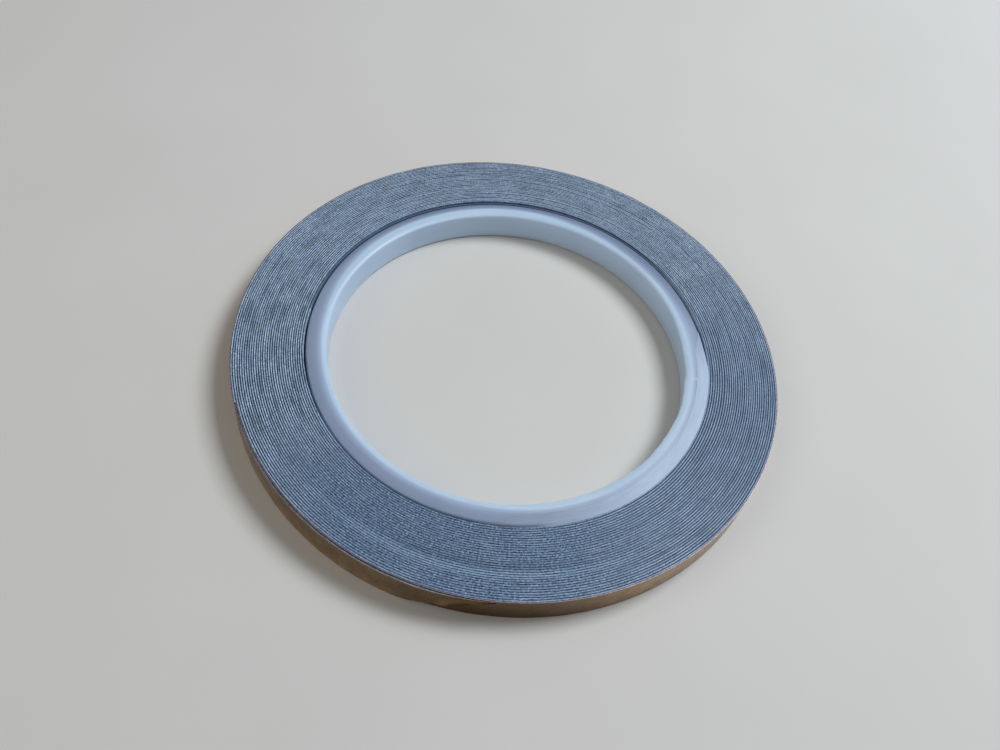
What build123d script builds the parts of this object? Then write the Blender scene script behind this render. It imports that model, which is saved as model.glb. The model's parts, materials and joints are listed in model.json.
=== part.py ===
"""Roll of copper foil tape, as used to edge pieces of stained glass.

One strip of copper foil, its adhesive and its paper release liner are wound together on a white
plastic core. A short paper tab holds the first end of the strip. The free end is cut on a slant.

Millimetres. The origin is the centre of the core's bore at mid width, and +Z is the bore's axis.
Azimuths are in degrees about +Z, counted from +X. Seen from above, the strip is wound outwards
anticlockwise, with the copper facing out.
"""
from build123d import *
from math import pi
import os

os.makedirs("parts", exist_ok=True)

# Driving dimensions
BORE_RADIUS = 31.75
SEAT_RADIUS = 35.4
OUTER_RADIUS = 47.6
TAPE_WIDTH = 5.556
TURNS = 32

# Core: how far its crowned sides stand past the tape, and how they curve away to each edge
CORE_PROUD = 0.1
BORE_EDGE_DROP = 0.45
SEAT_EDGE_DROP = 1.3
LAND_INNER_RADIUS = 32.6
LAND_OUTER_RADIUS = 33.4

# Strip: the liner and the adhesive, and where the strip starts, leaves the roll and is cut
LINER_THICKNESS = 0.20
ADHESIVE_THICKNESS = 0.06
START_AZIMUTH = 18
PEEL_AZIMUTH = 208
CUT_BOTTOM_AZIMUTH = 259
CUT_TOP_AZIMUTH = 276

# Free end: gap under each loose layer, how much wider it curves than the roll, and the gap at its root
LOOSE_GAP = 0.06
LOOSE_SPREAD = 0.25
ROOT_GAP_ANGLE = 0.15

# Starter tab
TAB_FIRST_AZIMUTH = -81
TAB_INNER_RADIUS = 33.8
TAB_TOP_BELOW_CREST = 0.06
TAB_CLEARANCE = 0.02
TAB_SLANT_ANGLE = 12

# Worked out from the values above
HALF_TAPE = TAPE_WIDTH / 2
CREST_HEIGHT = HALF_TAPE + CORE_PROUD
PITCH = (OUTER_RADIUS - SEAT_RADIUS) / TURNS
LINER_LAYER = (0, LINER_THICKNESS)
ADHESIVE_LAYER = (LINER_THICKNESS, LINER_THICKNESS + ADHESIVE_THICKNESS)
FOIL_LAYER = (LINER_THICKNESS + ADHESIVE_THICKNESS, PITCH)
WOUND_ANGLE = 360 * (TURNS - 1) + PEEL_AZIMUTH - START_AZIMUTH
WOUND_HALF_TURNS = WOUND_ANGLE // 180
LAST_ARC = WOUND_ANGLE % 180


def polar(radius, azimuth, height=0):
    """A point from its radius, azimuth and height."""
    return Vector(radius, 0, height).rotate(Axis.Z, azimuth)


def half_turn_centre(number):
    """The centres of the half turns change sides, so that each one starts where the last one ended."""
    side = -1 if number % 2 == 0 else 1
    return polar(side * PITCH / 4, START_AZIMUTH)


def half_turn_radius(number):
    """Radius of the strip's inner face on one half turn."""
    return SEAT_RADIUS + PITCH / 4 + number * PITCH / 2


LAST_CENTRE = half_turn_centre(WOUND_HALF_TURNS)
LAST_RADIUS = half_turn_radius(WOUND_HALF_TURNS)

# Core: a crowned ring, with a narrow flat land on each crest for it to rest on
BORE_WALL_HEIGHT = CREST_HEIGHT - BORE_EDGE_DROP
SEAT_WALL_HEIGHT = CREST_HEIGHT - SEAT_EDGE_DROP

with BuildPart() as core:
    with BuildSketch(Plane.XZ):
        with BuildLine():
            for side in (1, -1):
                EllipticalCenterArc(
                    (LAND_INNER_RADIUS, side * BORE_WALL_HEIGHT), LAND_INNER_RADIUS - BORE_RADIUS,
                    BORE_EDGE_DROP, start_angle=180, arc_size=-90 * side,
                )
                EllipticalCenterArc(
                    (LAND_OUTER_RADIUS, side * SEAT_WALL_HEIGHT), SEAT_RADIUS - LAND_OUTER_RADIUS,
                    SEAT_EDGE_DROP, start_angle=0, arc_size=90 * side,
                )
                Line((LAND_INNER_RADIUS, side * CREST_HEIGHT), (LAND_OUTER_RADIUS, side * CREST_HEIGHT))
            Line((BORE_RADIUS, -BORE_WALL_HEIGHT), (BORE_RADIUS, BORE_WALL_HEIGHT))
            Line((SEAT_RADIUS, -SEAT_WALL_HEIGHT), (SEAT_RADIUS, SEAT_WALL_HEIGHT))
        make_face()
    revolve(axis=Axis.Z)

# Starter tab: lies on the core under the second turn and covers the core's rounded edge on the upper side
TAB_TOP = CREST_HEIGHT - TAB_TOP_BELOW_CREST
TAB_ARC = START_AZIMUTH - TAB_FIRST_AZIMUTH
TAB_OUTER_RADIUS = half_turn_radius(1) - TAB_CLEARANCE

with BuildPart() as starter_tab:
    with BuildSketch(Plane.XY.offset(-HALF_TAPE)):
        with BuildLine():
            inner = CenterArc((0, 0), TAB_INNER_RADIUS, TAB_FIRST_AZIMUTH, TAB_ARC)
            outer = CenterArc(half_turn_centre(1), TAB_OUTER_RADIUS, TAB_FIRST_AZIMUTH, TAB_ARC)
            Line(outer @ 0, inner @ 0)
            Line(outer @ 1, inner @ 1)
        make_face()
    extrude(amount=HALF_TAPE + TAB_TOP)
    add(core.part, mode=Mode.SUBTRACT)
    slant_head = polar(SEAT_RADIUS, TAB_FIRST_AZIMUTH, TAB_TOP)
    slant_foot = polar(SEAT_RADIUS, TAB_FIRST_AZIMUTH + TAB_SLANT_ANGLE)
    slant_radial = polar(1, TAB_FIRST_AZIMUTH)
    slant = Plane(slant_head, slant_radial, (slant_foot - slant_head).cross(slant_radial))
    split(bisect_by=slant, keep=Keep.BOTTOM)


# Windings: the fixed turns of the three layers, each a spiral of half turns that ends at the peel line
def spiral(offset):
    """Adds the spiral line this far out from the strip's inner face, and returns its two ends."""
    for number in range(WOUND_HALF_TURNS):
        first_azimuth = START_AZIMUTH + 180 * number
        CenterArc(half_turn_centre(number), half_turn_radius(number) + offset, first_azimuth, 180)
    last = CenterArc(LAST_CENTRE, LAST_RADIUS + offset, PEEL_AZIMUTH - LAST_ARC, LAST_ARC)
    return polar(SEAT_RADIUS + offset, START_AZIMUTH), last @ 1


def winding(layer):
    """The fixed turns of one layer of the strip."""
    with BuildPart() as turns:
        with BuildSketch(Plane.XY.offset(-HALF_TAPE)):
            with BuildLine():
                inner_start, inner_end = spiral(layer[0])
                outer_start, outer_end = spiral(layer[1])
                Line(inner_start, outer_start)
                Line(inner_end, outer_end)
            make_face()
        extrude(amount=TAPE_WIDTH)
    return turns


liner_winding = winding(LINER_LAYER)
adhesive_winding = winding(ADHESIVE_LAYER)
foil_winding = winding(FOIL_LAYER)


# Free end: each loose layer meets the roll at the peel line and curves a little wider than the roll
def tail(layer, gaps):
    """The loose end of one layer, with this many gaps between it and the roll, cut on the slant."""
    centre = LAST_CENTRE - polar(gaps * LOOSE_SPREAD, PEEL_AZIMUTH)
    first_radius = LAST_RADIUS + layer[0] + gaps * (LOOSE_GAP + LOOSE_SPREAD)
    second_radius = first_radius + layer[1] - layer[0]
    root_azimuth = PEEL_AZIMUTH + ROOT_GAP_ANGLE
    foot = polar(second_radius, CUT_BOTTOM_AZIMUTH, -HALF_TAPE)
    head = polar(second_radius, CUT_TOP_AZIMUTH, HALF_TAPE)
    radial = polar(1, (CUT_BOTTOM_AZIMUTH + CUT_TOP_AZIMUTH) / 2)
    with BuildPart() as loose:
        with BuildSketch(Plane.XY.offset(-HALF_TAPE)):
            with BuildLine():
                inner = CenterArc(centre, first_radius, root_azimuth, CUT_TOP_AZIMUTH - PEEL_AZIMUTH)
                outer = CenterArc(centre, second_radius, root_azimuth, CUT_TOP_AZIMUTH - PEEL_AZIMUTH)
                Line(inner @ 0, outer @ 0)
                Line(inner @ 1, outer @ 1)
            make_face()
        extrude(amount=TAPE_WIDTH)
        split(bisect_by=Plane((foot + head) / 2, radial, (head - foot).cross(radial)), keep=Keep.BOTTOM)
    return loose


liner_tail = tail(LINER_LAYER, 1)
adhesive_tail = tail(ADHESIVE_LAYER, 2)
foil_tail = tail(FOIL_LAYER, 2)

pieces = {
    "core": core,
    "starter_tab": starter_tab,
    "liner_winding": liner_winding,
    "adhesive_winding": adhesive_winding,
    "foil_winding": foil_winding,
    "liner_tail": liner_tail,
    "adhesive_tail": adhesive_tail,
    "foil_tail": foil_tail,
}
for name, piece in pieces.items():
    piece.part.label = name
    export_step(piece.part, f"parts/{name}.step")

# The peel hinges stand at the peel line, on the outer face of the foil and of the liner
for name, layer, gaps in (("foil", FOIL_LAYER, 2), ("liner", LINER_LAYER, 1)):
    hinge = LAST_CENTRE + polar(LAST_RADIUS + layer[1] + gaps * LOOSE_GAP, PEEL_AZIMUTH)
    print(f"{name} peel hinge at X {hinge.X:.3f} Y {hinge.Y:.3f}")
print(f"strip length {pi * sum(half_turn_radius(number) for number in range(2 * TURNS)) / 1000:.2f} m")
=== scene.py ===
"""Looks for the roll of copper foil tape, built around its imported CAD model.

Metres. Azimuths are in degrees about +Z, counted from +X: 90 is the far side and -90 the near one.
"""

import json
import math

import bpy
import numpy as np
from mathutils import Matrix, Vector


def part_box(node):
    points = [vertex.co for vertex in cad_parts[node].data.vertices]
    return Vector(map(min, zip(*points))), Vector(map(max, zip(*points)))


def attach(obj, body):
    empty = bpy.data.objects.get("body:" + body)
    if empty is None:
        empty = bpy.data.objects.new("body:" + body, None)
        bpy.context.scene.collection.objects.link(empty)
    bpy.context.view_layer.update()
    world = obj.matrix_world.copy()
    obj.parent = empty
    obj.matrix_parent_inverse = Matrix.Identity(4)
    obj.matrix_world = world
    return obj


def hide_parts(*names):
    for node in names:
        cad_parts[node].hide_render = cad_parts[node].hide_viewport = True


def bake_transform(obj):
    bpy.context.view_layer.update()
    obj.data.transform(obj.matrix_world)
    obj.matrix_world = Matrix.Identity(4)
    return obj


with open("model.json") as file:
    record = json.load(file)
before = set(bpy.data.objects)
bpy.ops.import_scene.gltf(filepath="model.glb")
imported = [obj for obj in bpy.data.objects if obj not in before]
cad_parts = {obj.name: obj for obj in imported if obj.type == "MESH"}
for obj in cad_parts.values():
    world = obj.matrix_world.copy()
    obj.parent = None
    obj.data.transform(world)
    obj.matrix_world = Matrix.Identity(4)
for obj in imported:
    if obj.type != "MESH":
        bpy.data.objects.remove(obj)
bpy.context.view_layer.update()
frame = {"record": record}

# ---------------------------------------------------------------------------------------------
# Sizes: read from the frame where it holds them
# ---------------------------------------------------------------------------------------------
MM = 0.001
MOUNTS = {mount["name"]: mount for mount in frame["record"]["mounts"]}
BORE_RADIUS = MOUNTS["core_bore"]["dims"]["r_mm"] * MM
SEAT_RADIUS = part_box("core")[1].x
CREST_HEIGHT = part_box("core")[1].z
HALF_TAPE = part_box("foil_winding")[1].z
OUTER_RADIUS = 47.6 * MM
LAND_INNER_RADIUS, LAND_OUTER_RADIUS = 32.6 * MM, 33.4 * MM
BORE_EDGE_DROP, SEAT_EDGE_DROP = 0.45 * MM, 1.3 * MM

# The strip's layers, as distances out from its inner face, and where it starts, peels and is cut
TURNS = 32
PITCH = (OUTER_RADIUS - SEAT_RADIUS) / TURNS
LINER = (0.0, 0.20 * MM)
ADHESIVE = (0.20 * MM, 0.26 * MM)
FOIL = (0.26 * MM, PITCH)
START_AZIMUTH = 18
PEEL_AZIMUTH = 208
CUT_BOTTOM_AZIMUTH = 259
CUT_TOP_AZIMUTH = 276
WOUND_ANGLE = 360 * (TURNS - 1) + PEEL_AZIMUTH - START_AZIMUTH
TAB_FIRST_AZIMUTH = -81

# Unevenness of the real roll, in X and Y for the outermost turn's shift off the core's centre
RIM_SHIFT = (0.20 * MM, -0.37 * MM)
SECOND_TURN_DRAWN_IN = 0.26 * MM
FIRST_TURN_SUNK = 0.4 * MM
FLASH_REACH = 0.40 * MM


# ---------------------------------------------------------------------------------------------
# Curves and meshes
# ---------------------------------------------------------------------------------------------
def wander(x, wavelength, seed, waves=7):
    """Smooth random curve of about unit height along x, from sine waves near this wavelength."""
    rng = np.random.default_rng(seed)
    total = np.zeros_like(x, dtype=float)
    for _ in range(waves):
        length = wavelength * rng.uniform(0.6, 2.2)
        total += np.sin(2 * math.pi * x / length + rng.uniform(0, 2 * math.pi))
    return total / math.sqrt(waves / 2)


def smooth_step(x, low, high):
    """0 below low, 1 above high, and a smooth ramp between them."""
    t = np.clip((x - low) / (high - low), 0, 1)
    return t * t * (3 - 2 * t)


def plateau(x, rise, fall):
    """Up from 0 to 1 over the stretch rise, and down again over the stretch fall."""
    return smooth_step(x, *rise) * (1 - smooth_step(x, *fall))


def signed(degrees):
    """An azimuth brought between -180 and 180."""
    return (degrees + 180) % 360 - 180


def on_ring(radius, degrees, height):
    """Points from arrays of radius, azimuth and height."""
    radius, angle, height = np.broadcast_arrays(radius, np.radians(degrees), height)
    return np.stack([radius * np.cos(angle), radius * np.sin(angle), height], axis=-1)


def loft(name, rings, slots, closed=False, sharp_degrees=35):
    """A mesh through rings of points, shape (rings, points, 3).

    slots gives each side's material number. The ends are capped unless the loft is closed.
    """
    count, around = rings.shape[:2]
    steps = count if closed else count - 1
    i = np.arange(steps)[:, None]
    j = np.arange(around)[None, :]
    following, beside = (i + 1) % count, (j + 1) % around
    faces = np.stack([
        i * around + j, following * around + j, following * around + beside, i * around + beside,
    ], axis=-1).reshape(-1, 4).tolist()
    if not closed:
        faces.append(list(range(around)))
        faces.append(list(range(count * around - 1, (count - 1) * around - 1, -1)))
    mesh = bpy.data.meshes.new(name)
    mesh.from_pydata(rings.reshape(-1, 3).tolist(), [], faces)
    numbers = np.tile(np.asarray(slots), steps).tolist()
    numbers += [slots[-1]] * (len(faces) - len(numbers))
    mesh.polygons.foreach_set("material_index", numbers)
    mesh.polygons.foreach_set("use_smooth", [True] * len(faces))
    mesh.update()
    mesh.set_sharp_from_angle(angle=math.radians(sharp_degrees))
    piece = bpy.data.objects.new(name, mesh)
    bpy.context.scene.collection.objects.link(piece)
    return piece


def dress(piece, look, *replaced):
    """Gives a piece its materials, and hides the CAD nodes that it stands for."""
    slot, *materials = look
    for material in materials:
        piece.data.materials.append(material)
    if replaced:
        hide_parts(*replaced)


# ---------------------------------------------------------------------------------------------
# Node materials
# ---------------------------------------------------------------------------------------------
class Paint:
    """A node material: short calls that add nodes and link them."""

    def __init__(self, name):
        self.material = bpy.data.materials.new(name)
        self.material.use_nodes = True
        self.tree = self.material.node_tree
        self.tree.nodes.clear()
        self.shader = self.node("ShaderNodeBsdfPrincipled")
        self.put(self.node("ShaderNodeOutputMaterial").inputs[0], self.shader.outputs[0])
        self.position = self.node("ShaderNodeTexCoord").outputs["Object"]

    def node(self, kind, **values):
        """A node, with its properties set."""
        made = self.tree.nodes.new(kind)
        for key, value in values.items():
            setattr(made, key, value)
        return made

    def put(self, socket, value):
        """Sets a socket to a number or colour, or links another socket to it."""
        if isinstance(value, bpy.types.NodeSocket):
            self.tree.links.new(value, socket)
        elif socket.type == "RGBA" and len(value) == 3:
            socket.default_value = (*value, 1)
        else:
            socket.default_value = value

    def math(self, operation, first, second=0.0, clamp=False):
        """The result of a math node."""
        made = self.node("ShaderNodeMath", operation=operation, use_clamp=clamp)
        self.put(made.inputs[0], first)
        self.put(made.inputs[1], second)
        return made.outputs[0]

    def scaled(self, value, factor, clamp=False):
        """A value times a factor."""
        return self.math("MULTIPLY", value, factor, clamp)

    def split(self, vector):
        """The three numbers of a vector."""
        parts = self.node("ShaderNodeSeparateXYZ")
        self.put(parts.inputs[0], vector)
        return parts.outputs

    def polar(self, radial_scale, round_scale, height_scale):
        """Coordinates that follow the winding: radius, azimuth in radians and height, scaled."""
        x, y, z = self.split(self.position)
        squares = self.math("ADD", self.math("MULTIPLY", x, x), self.math("MULTIPLY", y, y))
        joined = self.node("ShaderNodeCombineXYZ")
        self.put(joined.inputs[0], self.scaled(self.math("SQRT", squares), radial_scale))
        self.put(joined.inputs[1], self.scaled(self.math("ARCTAN2", y, x), round_scale))
        self.put(joined.inputs[2], self.scaled(z, height_scale))
        return joined.outputs[0]

    def zone(self, radius, half_width, azimuth, half_angle):
        """1 at this radius and azimuth, falling to 0 at the edges of a stretch of the ring."""
        here, way_round, _ = self.split(self.polar(1.0, 1.0, 1.0))
        across = self.math("DIVIDE", self.math("SUBTRACT", here, radius), half_width)
        turned = self.math("SUBTRACT", way_round, math.radians(azimuth))
        along = self.math("DIVIDE", turned, math.radians(half_angle))
        squares = [self.math("MULTIPLY", away, away) for away in (across, along)]
        return self.math("SUBTRACT", 1.0, self.math("ADD", *squares), clamp=True)

    def sector(self, azimuth, half_angle):
        """1 at this azimuth, falling to 0 at both ends of a stretch of the ring, at any radius."""
        any_radius = (0.0, 10.0)
        return self.zone(*any_radius, azimuth, half_angle)

    def noise(self, vector, scale, detail, roughness):
        """Noise from 0 to 1."""
        made = self.node("ShaderNodeTexNoise", noise_dimensions="3D")
        self.put(made.inputs["Vector"], vector)
        self.put(made.inputs["Scale"], scale)
        self.put(made.inputs["Detail"], detail)
        self.put(made.inputs["Roughness"], roughness)
        return made.outputs["Fac"]

    def wound_noise(self, scales, detail, roughness):
        """Noise from 0 to 1 that follows the winding, with scales outwards, round and up."""
        return self.noise(self.polar(*scales), 1.0, detail, roughness)

    def ramp(self, value, *stops):
        """A colour ramp of (place, grey or colour) stops."""
        made = self.node("ShaderNodeValToRGB")
        self.put(made.inputs[0], value)
        elements = made.color_ramp.elements
        while len(elements) < len(stops):
            elements.new(0.5)
        for element, (place, colour) in zip(elements, stops):
            element.position = place
            element.color = (*((colour,) * 3 if isinstance(colour, float) else colour), 1)
        return made.outputs["Color"]

    def mix(self, factor, first, second, blend="MIX"):
        """Two colours mixed."""
        made = self.node("ShaderNodeMix", data_type="RGBA", blend_type=blend)
        self.put(made.inputs["Factor"], factor)
        colour_inputs = [socket for socket in made.inputs if socket.type == "RGBA"]
        for socket, value in zip(colour_inputs, (first, second)):
            self.put(socket, value)
        return [socket for socket in made.outputs if socket.type == "RGBA"][0]

    def times(self, colour, tone):
        """A colour multiplied by another."""
        return self.mix(1.0, colour, tone, "MULTIPLY")

    def bump(self, height, strength, distance, normal=None):
        """A bump from a height, on top of another bump if one is given."""
        made = self.node("ShaderNodeBump")
        self.put(made.inputs["Strength"], strength)
        self.put(made.inputs["Distance"], distance)
        self.put(made.inputs["Height"], height)
        if normal is not None:
            self.put(made.inputs["Normal"], normal)
        return made.outputs["Normal"]

    def surface(self, **inputs):
        """Sets the shader's inputs by name, with _ for a space, and returns the material."""
        for key, value in inputs.items():
            self.put(self.shader.inputs[key.replace("_", " ")], value)
        return self.material


# Stretches of the ring that look different, as radius, half width, azimuth and half angle
NEAR_TURNS_RUBBED_OVER = (40.5 * MM, 13.0 * MM, -95, 52)
RUBBED_LINE = (43.6 * MM, 1.0 * MM, -92, 42)
GRIMY_LINE = (42.2 * MM, 0.9 * MM, -85, 30)
# Painted shade on the first turn, in the groove beside the core
FIRST_TURN_PAINTED_SHADE = (35.6 * MM, 0.32 * MM, 104, 100)
# Painted shade on the near wall beside the cut, for the shadowed floor that it reflects
WALL_PAINTED_SHADE = (OUTER_RADIUS, 4.0 * MM, -82, 24)
CORE_SHADED_RIGHT = (35.0 * MM, 2.6 * MM, 58, 42)
CORE_SHADED_FAR = (35.3 * MM, 2.0 * MM, 118, 55)

# The same at any radius, as azimuth and half angle
SMOOTH_FAR_TURNS = (95, 80)
DULL_RIGHT_TURNS = (-12, 52)
# Where the core's painted shade starts further out
CORE_SHADE_SET_BACK_FAR = (118, 62)
# Where the tab carries painted shade
TAB_PAINTED_SHADE_END = (-104, 62)
TAB_PAINTED_SHADE_TIP = (START_AZIMUTH + 2, 16)


def copper_face(name, dull, middle, bright, upper=1.0):
    """Handled copper: shallow creases, fine rolling lines along the strip, and stains.

    upper is how bright the strip's upper part is beside its foot: below 1, a painted sheen along
    the foot and painted shade above it.
    """
    paint = Paint(name)
    creases = paint.wound_noise((0.0, 14.0, 60.0), 4.0, 0.6)
    stains = paint.wound_noise((0.0, 22.0, 420.0), 4.0, 0.6)
    fine = paint.wound_noise((0.0, 120.0, 500.0), 3.0, 0.6)
    lines = paint.wound_noise((0.0, 3.0, 6000.0), 2.0, 0.5)
    colour = paint.ramp(stains, (0.28, dull), (0.50, middle), (0.74, bright))
    colour = paint.times(colour, paint.ramp(lines, (0.30, 0.90), (0.60, 1.0)))
    share = paint.math("ADD", paint.scaled(paint.split(paint.position)[2], 0.5 / HALF_TAPE), 0.5)
    # Painted sheen along the foot and painted shade above it, when upper is below 1
    colour = paint.times(colour, paint.ramp(share, (0.15, 1.0), (0.65, upper)))
    # Painted shade: the near wall darkened beside the cut, where it reflects the shadowed floor
    wall_shade = paint.scaled(paint.zone(*WALL_PAINTED_SHADE), 0.9)
    colour = paint.mix(wall_shade, colour, (0.12, 0.065, 0.022))
    roughness = paint.ramp(fine, (0.3, 0.24), (0.7, 0.38))
    normal = paint.bump(creases, 0.35, 0.4 * MM)
    normal = paint.bump(fine, 0.2, 0.1 * MM, normal)
    normal = paint.bump(lines, 0.12, 0.05 * MM, normal)
    return paint.surface(Base_Color=colour, Metallic=1.0, Roughness=roughness, Normal=normal)


def copper_rim():
    """The bare slit edge of the outermost foil, which shows pink beside the grimy inner turns."""
    paint = Paint("copper_rim")
    along = paint.wound_noise((0.0, 90.0, 900.0), 3.0, 0.6)
    colour = paint.ramp(along, (0.35, (0.22, 0.16, 0.18)), (0.65, (0.46, 0.33, 0.33)))
    return paint.surface(Base_Color=colour, Metallic=0.6, Roughness=0.42)


def smeared(paint, colour, strength):
    """Dulls a wound edge to mottled grey blue on the near side, where the turns are rubbed over."""
    fine = paint.wound_noise((3400.0, 110.0, 0.0), 3.0, 0.7)
    mottle = paint.ramp(
        fine, (0.38, (0.06, 0.10, 0.19)), (0.52, (0.17, 0.26, 0.40)), (0.66, (0.40, 0.55, 0.72)),
    )
    broad = paint.wound_noise((300.0, 7.0, 0.0), 3.0, 0.6)
    patchy = paint.ramp(broad, (0.30, 0.5), (0.52, 1.0))
    amount = paint.math("MULTIPLY", paint.zone(*NEAR_TURNS_RUBBED_OVER), patchy)
    amount = paint.scaled(amount, 1.4, clamp=True)
    return paint.mix(paint.scaled(amount, strength), colour, mottle)


def copper_edge():
    """The foil's slit edges, dark partly with the grime that adhesive holds and partly with painted
    shade for the dark surroundings that the bare metal reflects, with a few bright specks.
    """
    paint = Paint("copper_edge")
    along = paint.wound_noise((5000.0, 160.0, 0.0), 3.0, 0.65)
    # Dark colours: grime, and painted shade for the dark surroundings that the metal edge reflects
    colour = paint.ramp(
        along,
        (0.35, (0.005, 0.012, 0.03)), (0.60, (0.025, 0.045, 0.09)), (0.78, (0.16, 0.23, 0.34)),
    )
    return paint.surface(Base_Color=smeared(paint, colour, 0.9), Metallic=0.2, Roughness=0.5)


def adhesive_paint():
    """Clear grey acrylic adhesive, a little cloudy."""
    paint = Paint("adhesive_layer")
    cloud = paint.wound_noise((3000.0, 140.0, 900.0), 3.0, 0.6)
    colour = paint.ramp(cloud, (0.3, (0.012, 0.022, 0.045)), (0.7, (0.06, 0.09, 0.15)))
    return paint.surface(Base_Color=smeared(paint, colour, 0.9), Roughness=0.45)


def liner_paint():
    """Pale liner paper: cut fibres that catch the light in specks, with rubbed and grimy parts, and
    painted shade on the first turn beside the core.
    """
    paint = Paint("liner_paper")
    fibres = paint.wound_noise((4500.0, 260.0, 900.0), 4.0, 0.7)
    turns = paint.wound_noise((2600.0, 6.0, 0.0), 3.0, 0.65)
    patches = paint.wound_noise((420.0, 9.0, 100.0), 3.0, 0.6)
    colour = paint.ramp(
        fibres, (0.36, (0.17, 0.27, 0.44)), (0.50, (0.46, 0.62, 0.87)), (0.62, (0.84, 0.98, 1.0)),
    )
    far_side = paint.scaled(paint.sector(*SMOOTH_FAR_TURNS), 0.75)
    turn_tone = paint.ramp(turns, (0.32, 0.42), (0.54, 1.0))
    colour = paint.times(colour, paint.mix(far_side, turn_tone, (0.86, 0.86, 0.86)))
    colour = paint.times(colour, paint.ramp(patches, (0.28, 0.72), (0.66, 1.0)))
    right_side = paint.scaled(paint.sector(*DULL_RIGHT_TURNS), 0.55)
    colour = paint.mix(right_side, colour, (0.16, 0.26, 0.42))
    colour = smeared(paint, colour, 0.95)
    for stretch, strength, tone in (
        (RUBBED_LINE, 0.42, (0.42, 0.60, 0.80)),
        (GRIMY_LINE, 0.5, (0.07, 0.12, 0.20)),
        # painted shade on the first turn beside the core
        (FIRST_TURN_PAINTED_SHADE, 1.6, (0.12, 0.18, 0.28)),
    ):
        colour = paint.mix(paint.scaled(paint.zone(*stretch), strength, clamp=True), colour, tone)
    normal = paint.bump(fibres, 0.4, 0.06 * MM)
    return paint.surface(Base_Color=colour, Roughness=0.6, Normal=normal)


def core_plastic():
    """White moulded plastic, a little translucent, with faint flow lines, and painted shade that
    greys it towards the tape, most on the right and far sides.
    """
    paint = Paint("core_plastic")
    flow = paint.wound_noise((2200.0, 4.0, 2200.0), 3.0, 0.6)
    cloud = paint.noise(paint.position, 90.0, 3.0, 0.5)
    colour = paint.ramp(cloud, (0.3, (0.57, 0.71, 0.88)), (0.7, (0.62, 0.76, 0.93)))
    colour = paint.times(colour, paint.ramp(flow, (0.2, 0.93), (0.7, 1.0)))

    # Painted shade: the grey starts 32.4 mm out, further out on the far side, and grows over 3 mm
    radius_mm = paint.split(paint.polar(1 / MM, 0.0, 0.0))[0]
    shade_set_back = paint.scaled(paint.sector(*CORE_SHADE_SET_BACK_FAR), 1.1)
    place = paint.math("SUBTRACT", paint.math("SUBTRACT", radius_mm, 32.4), shade_set_back)
    painted_shade_toward_tape = paint.ramp(
        paint.math("DIVIDE", place, 3.0),
        (0.04, 1.0), (0.16, (0.80, 0.79, 0.81)), (0.30, (0.70, 0.67, 0.72)),
        (0.50, (0.60, 0.57, 0.63)), (0.75, (0.56, 0.54, 0.59)), (0.97, (0.52, 0.50, 0.55)),
    )
    colour = paint.times(colour, painted_shade_toward_tape)
    shaded = paint.scaled(paint.zone(*CORE_SHADED_RIGHT), 0.45)
    colour = paint.mix(shaded, colour, (0.09, 0.13, 0.20))
    shaded = paint.scaled(paint.zone(*CORE_SHADED_FAR), 0.6)
    colour = paint.mix(shaded, colour, (0.07, 0.12, 0.25))
    return paint.surface(
        Base_Color=colour, Roughness=paint.ramp(flow, (0.3, 0.32), (0.7, 0.44)),
        Subsurface_Weight=0.5, Subsurface_Radius=(2.4 * MM,) * 3, Subsurface_Scale=1.0,
        Normal=paint.bump(flow, 0.15, 0.05 * MM),
    )


def tab_paper():
    """Smooth white paper with faint streaks along it, and painted shade towards both ends, where it
    lies low beside the core's shaded groove.
    """
    paint = Paint("tab_paper")
    streaks = paint.wound_noise((2600.0, 10.0, 1500.0), 4.0, 0.6)
    colour = paint.ramp(streaks, (0.3, (0.46, 0.56, 0.71)), (0.7, (0.54, 0.65, 0.81)))
    # Painted shade towards both ends, where the tab lies low in the groove
    shade_toward_end = paint.scaled(paint.sector(*TAB_PAINTED_SHADE_END), 1.25, clamp=True)
    colour = paint.times(colour, paint.ramp(shade_toward_end, (0.0, 1.0), (1.0, (0.62, 0.60, 0.64))))
    shade_toward_tip = paint.sector(*TAB_PAINTED_SHADE_TIP)
    colour = paint.times(colour, paint.ramp(shade_toward_tip, (0.0, 1.0), (1.0, (0.74, 0.73, 0.76))))
    normal = paint.bump(streaks, 0.3, 0.06 * MM)
    return paint.surface(Base_Color=colour, Roughness=0.5, Normal=normal)


def floor_paint():
    """Plain pale floor with the faintest mottle."""
    paint = Paint("floor")
    mottle = paint.noise(paint.position, 30.0, 2.0, 0.5)
    colour = paint.ramp(mottle, (0.3, (0.74, 0.70, 0.65)), (0.7, (0.76, 0.72, 0.67)))
    return paint.surface(Base_Color=colour, Roughness=0.7)


COPPER_FACE = copper_face(
    "copper_face",
    dull=(0.29, 0.16, 0.070), middle=(0.39, 0.235, 0.110), bright=(0.52, 0.335, 0.175),
)
# The free end's copper is a lighter, greyer copy: painted reflection of the bright surroundings,
# with a painted sheen along its foot
COPPER_LOOSE_PAINTED_SHEEN = copper_face(
    "copper_loose_painted_sheen",
    dull=(0.36, 0.22, 0.110), middle=(0.49, 0.335, 0.185), bright=(0.64, 0.46, 0.29), upper=0.62,
)
COPPER_RIM, COPPER_EDGE, ADHESIVE_PAINT = copper_rim(), copper_edge(), adhesive_paint()
LINER_PAINT, CORE_PLASTIC, TAB_PAPER = liner_paint(), core_plastic(), tab_paper()

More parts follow.
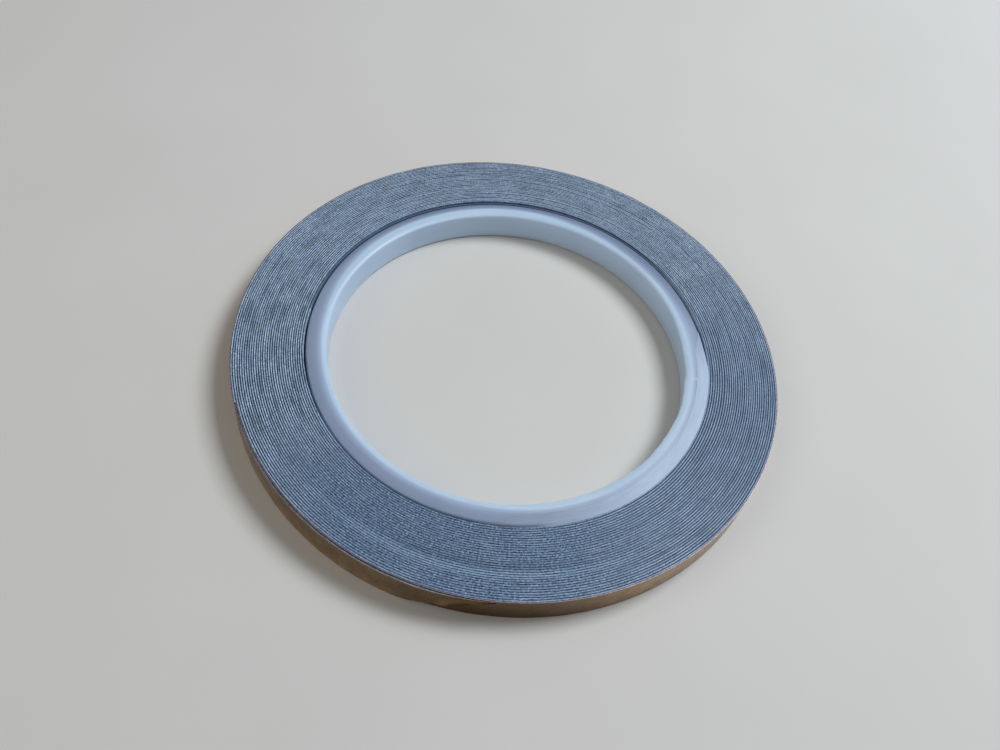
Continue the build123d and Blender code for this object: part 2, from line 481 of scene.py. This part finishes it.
# Looks: the record's slot, then the materials of a piece's sides 0 and 1
CORE_LOOK = ("core_plastic", CORE_PLASTIC)
TAB_LOOK = ("tab_paper", TAB_PAPER)
LINER_LOOK = ("liner_paper", LINER_PAINT, LINER_PAINT)
ADHESIVE_LOOK = ("adhesive", ADHESIVE_PAINT, ADHESIVE_PAINT)
FOIL_TURNS_LOOK = ("copper_foil", COPPER_FACE, COPPER_EDGE)
FOIL_WALL_LOOK = ("copper_foil", COPPER_FACE, COPPER_RIM)
FOIL_LOOSE_LOOK = ("copper_foil", COPPER_LOOSE_PAINTED_SHEEN, COPPER_RIM)


# ---------------------------------------------------------------------------------------------
# Core
# ---------------------------------------------------------------------------------------------
CORE_FACETS = 720
BORE_EDGE_STEPS, SEAT_EDGE_STEPS, BORE_WALL_STEPS = 14, 22, 4
LAND_EASING = 0.12 * MM
BORE_WALL_TOP = CREST_HEIGHT - BORE_EDGE_DROP


def core_height(radius):
    """Height of the core's upper side: a flat land, then a slope that bends down at the seat."""
    share = np.clip((radius - LAND_OUTER_RADIUS) / (SEAT_RADIUS - LAND_OUTER_RADIUS), 0, 1)
    return CREST_HEIGHT - SEAT_EDGE_DROP * (0.28 * share + 0.72 * share ** 24)


def core_section():
    """Radii and heights of the core's section, upper half only, from the bore's middle outwards."""
    wall = np.linspace(0, BORE_WALL_TOP, BORE_WALL_STEPS + 1)[:-1]
    quarter = np.linspace(0, math.pi / 2, BORE_EDGE_STEPS)
    inner_radius = LAND_INNER_RADIUS - (LAND_INNER_RADIUS - BORE_RADIUS) * np.cos(quarter)
    inner_height = BORE_WALL_TOP + BORE_EDGE_DROP * np.sin(quarter)
    slope_start = LAND_OUTER_RADIUS - LAND_EASING
    spread = np.sin(np.linspace(0, math.pi / 2, SEAT_EDGE_STEPS))
    outer_radius = slope_start + (SEAT_RADIUS - slope_start) * spread
    eased = [core_height(outer_radius + share * LAND_EASING) for share in (0, 0.5, 0.5, 1)]
    radius = np.concatenate([np.full(BORE_WALL_STEPS, BORE_RADIUS), inner_radius, outer_radius])
    height = np.concatenate([wall, inner_height, np.mean(eased, axis=0)])
    return radius, height


def moulding_flash(degrees):
    """How far a thin ragged lip of plastic stands into the bore, on the right side."""
    stretch = plateau(signed(degrees), rise=(-92, -58), fall=(8, 44))
    ragged = 0.035 * wander(degrees, 16.0, 61) + 0.020 * wander(degrees, 3.0, 62, 12)
    return stretch * (FLASH_REACH + MM * ragged)


def build_core():
    """The crowned ring, a little uneven, with moulding flash on the upper edge of its bore."""
    radius, height = core_section()
    radius = np.concatenate([radius, radius[::-1]])[None, :]
    height = np.concatenate([height, -height[::-1]])[None, :]
    degrees = np.linspace(0, 360, CORE_FACETS, endpoint=False)[:, None]
    upper = height > 0
    sway = 0.025 * MM * wander(degrees, 90, 3) * upper
    inward = np.clip((LAND_INNER_RADIUS - radius) / (LAND_INNER_RADIUS - BORE_RADIUS), 0, 1)
    near_edge = smooth_step(height, CREST_HEIGHT - 1.2 * MM, BORE_WALL_TOP)
    flash = moulding_flash(degrees) * inward * near_edge * upper
    rings = on_ring(radius - flash, degrees, height + sway)
    piece = loft("core_ring", rings[::-1], [0] * radius.size, closed=True, sharp_degrees=60)
    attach(piece, "roll")
    dress(piece, CORE_LOOK, "core")


# ---------------------------------------------------------------------------------------------
# Windings. turned is the angle in degrees wound from the strip's start
# ---------------------------------------------------------------------------------------------
WINDING_STEP, WALL_STEP = 1.0, 0.4
RIBBON_CHAMFER = 0.018 * MM
RIBBON_SLOTS = [0, 1, 1, 1, 0, 1, 1, 1]
WALL_ROWS = 16
WALL_SLOTS = [0, 1] + [0] * (WALL_ROWS - 1) + [1]
FLOOR_CLEARANCE = 0.01 * MM
FOIL_RECESS = 0.03 * MM


def strip_height(turned):
    """How far each place along the wound strip has wandered up or down."""
    slow = wander(turned / 360, 5.0, 11)
    swing = wander(turned, 150.0, 12, 12)
    return 0.022 * MM * (slow + swing)


def strip_radius(turned):
    """Radius of the strip's inner face.

    The turns drift a little to one side as they build up, and the second one is drawn in over the
    strip's own start, so that no step shows there.
    """
    degrees = START_AZIMUTH + turned
    angle = np.radians(degrees)
    built_up = PITCH * turned / 360
    drift = RIM_SHIFT[0] * np.cos(angle) + RIM_SHIFT[1] * np.sin(angle)
    drift = drift * built_up / (OUTER_RADIUS - SEAT_RADIUS)
    over_start = plateau(
        signed(degrees), rise=(-100, 0), fall=(START_AZIMUTH, START_AZIMUTH + 60),
    )
    second_turn = plateau(turned, rise=(180, 260), fall=(500, 3600))
    return SEAT_RADIUS + built_up + drift - SECOND_TURN_DRAWN_IN * over_start * second_turn


def layer_radii(turned, layer):
    """Inner and outer radius of a layer, which fills its share of the way to the next turn."""
    inner = strip_radius(turned)
    pitch = strip_radius(turned + 360) - inner
    first, last = layer[0] / PITCH, layer[1] / PITCH
    if layer == ADHESIVE:
        first = first * (1 + 0.10 * wander(turned, 30.0, 41, 12))
    return inner + first * pitch, inner + last * pitch


def ribbon_rings(turned, layer, low, high):
    """Section corners of a wound layer, its edges slightly chamfered."""
    inner, outer = layer_radii(turned, layer)
    cut = np.minimum(RIBBON_CHAMFER, 0.3 * (outer - inner))
    across = [inner, inner, inner + cut, outer - cut, outer, outer, outer - cut, inner + cut]
    heights = [low + cut, high - cut, high, high, high - cut, low + cut, low, low]
    degrees = START_AZIMUTH + turned
    return np.stack([on_ring(r, degrees, z) for r, z in zip(across, heights)], axis=1)


def build_winding(name, layer, look, replaced, recess, last_angle, seed):
    """One layer's turns as one spiral ribbon. recess sets its edges back from the tape's sides."""
    turned = np.arange(0, last_angle + WINDING_STEP / 2, WINDING_STEP)
    lift = strip_height(turned)
    rubbed = plateau(signed(START_AZIMUTH + turned), rise=(-140, -115), fall=(-70, -45))
    fray = (0.012 + 0.018 * rubbed) * MM * wander(turned, 4.0, seed, 16)
    sunk = FIRST_TURN_SUNK * plateau(turned, rise=(2, 45), fall=(130, 190))
    high = HALF_TAPE - recess + lift + fray - sunk
    low = np.maximum(-HALF_TAPE + recess + lift - fray, FLOOR_CLEARANCE - CREST_HEIGHT)
    piece = loft(name, ribbon_rings(turned, layer, low, high), RIBBON_SLOTS)
    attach(piece, "roll")
    dress(piece, look, replaced)


def foil_ripple(degrees, height):
    """Small dents and creases of the outer foil, in and out."""
    short = wander(degrees + 900 * height, 5.0, 31, 10)
    broad = wander(degrees - 1500 * height, 22.0, 32, 6)
    return MM * (0.010 * short + 0.016 * broad - 0.02)


def wall_rings(turned, inner, outer, low, high, flare=0.0, curl=0.0):
    """Section of a layer with many rows on its outer face, so it can ripple, flare and curl."""
    degrees = START_AZIMUTH + turned
    corners = [on_ring(inner, degrees, low), on_ring(inner, degrees, high)]
    for part in np.linspace(1, 0, WALL_ROWS):
        height = low + (high - low) * part
        ripple = foil_ripple(degrees, height) * math.sin(math.pi * (0.12 + 0.76 * part))
        foot = flare * (1 - part) ** 2 + curl * (1 - part) ** 5
        corners.append(on_ring(outer + ripple + foot, degrees, height))
    return np.stack(corners, axis=1)


def build_outer_turn():
    """The foil's last fixed turn, with the ripples that its reflections show."""
    turned = np.arange(WOUND_ANGLE - 360, WOUND_ANGLE + WALL_STEP / 2, WALL_STEP)
    inner, outer = layer_radii(turned, FOIL)
    lift = strip_height(turned)
    high, low = HALF_TAPE - FOIL_RECESS + lift, -HALF_TAPE + 0.05 * MM + lift
    piece = loft("foil_outer_turn", wall_rings(turned, inner, outer, low, high), WALL_SLOTS)
    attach(piece, "roll")
    dress(piece, FOIL_WALL_LOOK)


def build_windings():
    """The three layers, and the foil's last turn, which shows as the roll's outer wall."""
    build_winding(
        "liner_turns", LINER, LINER_LOOK, "liner_winding",
        recess=0.0, last_angle=WOUND_ANGLE, seed=32,
    )
    build_winding(
        "adhesive_turns", ADHESIVE, ADHESIVE_LOOK, "adhesive_winding",
        recess=0.18 * MM, last_angle=WOUND_ANGLE, seed=35,
    )
    build_winding(
        "foil_turns", FOIL, FOIL_TURNS_LOOK, "foil_winding",
        recess=0.09 * MM, last_angle=WOUND_ANGLE - 360, seed=31,
    )
    build_outer_turn()


# ---------------------------------------------------------------------------------------------
# Free end. way is the angle in degrees from the peel line
# ---------------------------------------------------------------------------------------------
TAIL_STEPS = 240


def tail_bottom(degrees, low, high):
    """Lower edge of the free end: along the strip, then up the slanted cut to the tip."""
    share = (degrees - CUT_BOTTOM_AZIMUTH) / (CUT_TOP_AZIMUTH - CUT_BOTTOM_AZIMUTH)
    curve = smooth_step(share, -0.15, 1.0) * 0.55 + np.clip(share, 0, 1) * 0.45
    return low + (high - low) * np.clip(curve, 0, 0.97)


def build_tail(
    name, layer, look, replaced, gaps, recess, short, flare=0.0, curl=0.0,
):
    """One layer of the free end, which leaves the roll smoothly at the peel line.

    gaps counts the gaps between it and the roll, and short is how many degrees short of the foil's
    tip it ends. The tip lies thinner than the rest, pressed to the roll.
    """
    last = CUT_TOP_AZIMUTH - PEEL_AZIMUTH - short
    way = np.linspace(0, last - 0.3, TAIL_STEPS)
    turned = WOUND_ANGLE + way
    base = strip_radius(turned)
    press = 1 - 0.6 * smooth_step(way, last - 14, last)
    stand_off = gaps * 0.02 * MM * smooth_step(way, 0, 12)
    inner, outer = (base + (side - base) * press + stand_off for side in layer_radii(turned, layer))
    lift = strip_height(turned)
    high, low = HALF_TAPE - recess + lift, -HALF_TAPE + recess + lift
    low = tail_bottom(PEEL_AZIMUTH + way + short, low, high)
    flare = flare * smooth_step(way, last - 58, last - 22)
    curl = curl * plateau(way, rise=(last - 12, last - 8), fall=(last - 8, last - 3))
    piece = loft(name, wall_rings(turned, inner, outer, low, high, flare, curl), WALL_SLOTS)
    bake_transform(piece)
    dress(piece, look, replaced)


def build_free_end():
    """The three loose layers."""
    build_tail(
        "liner_free_end", LINER, LINER_LOOK, "liner_tail",
        gaps=1, recess=0.30 * MM, short=2.0,
    )
    build_tail(
        "adhesive_free_end", ADHESIVE, ADHESIVE_LOOK, "adhesive_tail",
        gaps=2, recess=0.36 * MM, short=1.0,
    )
    build_tail(
        "foil_free_end", FOIL, FOIL_LOOSE_LOOK, "foil_tail",
        gaps=2, recess=FOIL_RECESS, short=0.0, flare=0.16 * MM, curl=0.42 * MM,
    )


# ---------------------------------------------------------------------------------------------
# Starter tab
# ---------------------------------------------------------------------------------------------
TAB_STEPS, TAB_ROWS = 220, 12
TAB_RISE_START, TAB_RISE_END = TAB_FIRST_AZIMUTH - 9, TAB_FIRST_AZIMUTH + 16
TAB_CLEARANCE = 0.015 * MM


def build_tab():
    """The paper tab beside the core's crest.

    It rises slowly out of the groove at its first end, and narrows and sinks at its other end.
    """
    degrees = np.linspace(TAB_RISE_START, START_AZIMUTH, TAB_STEPS)
    rise = smooth_step(degrees, TAB_RISE_START, TAB_RISE_END)
    rise = rise * (1 - 0.85 * smooth_step(degrees, START_AZIMUTH - 16, START_AZIMUTH))
    outer = strip_radius(degrees - START_AZIMUTH + 360) - TAB_CLEARANCE
    narrowing = smooth_step(degrees, START_AZIMUTH - 11, START_AZIMUTH) ** 2
    inner = LAND_OUTER_RADIUS + 1.5 * MM * narrowing
    uneven = 0.012 * MM * wander(degrees, 9.0, 51)
    corners = [
        on_ring(SEAT_RADIUS - 0.1 * MM, degrees, -HALF_TAPE),
        on_ring(inner, degrees, 0.2 * HALF_TAPE),
    ]
    for part in np.linspace(0, 1, TAB_ROWS):
        radius = inner + (outer - inner) * part
        bed = core_height(radius) - 0.03 * MM
        top = CREST_HEIGHT - 0.01 * MM - 0.09 * MM * part ** 1.5 + uneven * part
        corners.append(on_ring(radius, degrees, bed + (top - bed) * rise))
    corners.append(on_ring(outer, degrees, -HALF_TAPE))
    rings = np.stack(corners, axis=1)
    piece = loft("starter_tab_strip", rings, [0] * len(corners), sharp_degrees=50)
    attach(piece, "roll")
    dress(piece, TAB_LOOK, "starter_tab")


# ---------------------------------------------------------------------------------------------
# Stage, light and camera
# ---------------------------------------------------------------------------------------------
FLOOR_SIZE = 6.0
ROOM_COLOUR, ROOM_STRENGTH = (0.80, 0.88, 1.0, 1), 0.17
CAMERA_ELEVATION, CAMERA_ROLL = math.radians(53.18), math.radians(10.52)
CAMERA_DISTANCE = 3.385 * OUTER_RADIUS
CAMERA_TARGET = Vector((
    RIM_SHIFT[0] - 0.0201 * OUTER_RADIUS, RIM_SHIFT[1] - 0.1405 * OUTER_RADIUS, HALF_TAPE,
))
SENSOR_MM, LENS_MM = 36.0, 33.9


def build_stage():
    """A plain pale floor under the core's lower crest."""
    bpy.ops.mesh.primitive_plane_add(size=FLOOR_SIZE, location=(0, 0, -CREST_HEIGHT))
    floor = bpy.context.object
    floor.name = "floor"
    floor.data.materials.append(floor_paint())


def area_light(name, azimuth, elevation, distance, size, power, colour):
    """A soft square light, aimed at the roll."""
    data = bpy.data.lights.new(name, "AREA")
    data.size, data.energy, data.color = size, power, colour
    light = bpy.data.objects.new(name, data)
    bpy.context.scene.collection.objects.link(light)
    a, e = math.radians(azimuth), math.radians(elevation)
    outward = Vector((math.cos(e) * math.cos(a), math.cos(e) * math.sin(a), math.sin(e)))
    light.location = distance * outward
    light.rotation_euler = (-outward).to_track_quat("-Z", "Y").to_euler()


def build_light():
    """A cool key light from the back right, a weak warm fill from the left, and a pale room."""
    area_light("key", 32, 53, distance=0.7, size=0.30, power=3.7, colour=(0.84, 0.92, 1.0))
    area_light("fill", 205, 42, distance=0.9, size=0.6, power=1.5, colour=(1.0, 0.92, 0.76))
    world = bpy.data.worlds.new("room")
    world.use_nodes = True
    background = world.node_tree.nodes["Background"]
    background.inputs["Color"].default_value = ROOM_COLOUR
    background.inputs["Strength"].default_value = ROOM_STRENGTH
    bpy.context.scene.world = world


def build_camera():
    """The camera looks down from the near side, turned a little about its line of sight."""
    back = Vector((0, -math.cos(CAMERA_ELEVATION), math.sin(CAMERA_ELEVATION)))
    level = Vector((1, 0, 0))
    rise = Vector((0, math.sin(CAMERA_ELEVATION), math.cos(CAMERA_ELEVATION)))
    right = level * math.cos(CAMERA_ROLL) + rise * math.sin(CAMERA_ROLL)
    up = rise * math.cos(CAMERA_ROLL) - level * math.sin(CAMERA_ROLL)
    data = bpy.data.cameras.new("camera")
    data.sensor_width, data.lens = SENSOR_MM, LENS_MM
    data.clip_start = 5 * MM
    camera = bpy.data.objects.new("camera", data)
    bpy.context.scene.collection.objects.link(camera)
    place = Matrix((right, up, back)).transposed().to_4x4()
    place.translation = CAMERA_TARGET + back * CAMERA_DISTANCE
    camera.matrix_world = place
    bpy.context.scene.camera = camera


build_core()
build_windings()
build_free_end()
build_tab()
build_stage()
build_light()
build_camera()
bpy.context.scene.view_settings.view_transform = "Standard"

bpy.context.view_layer.update()
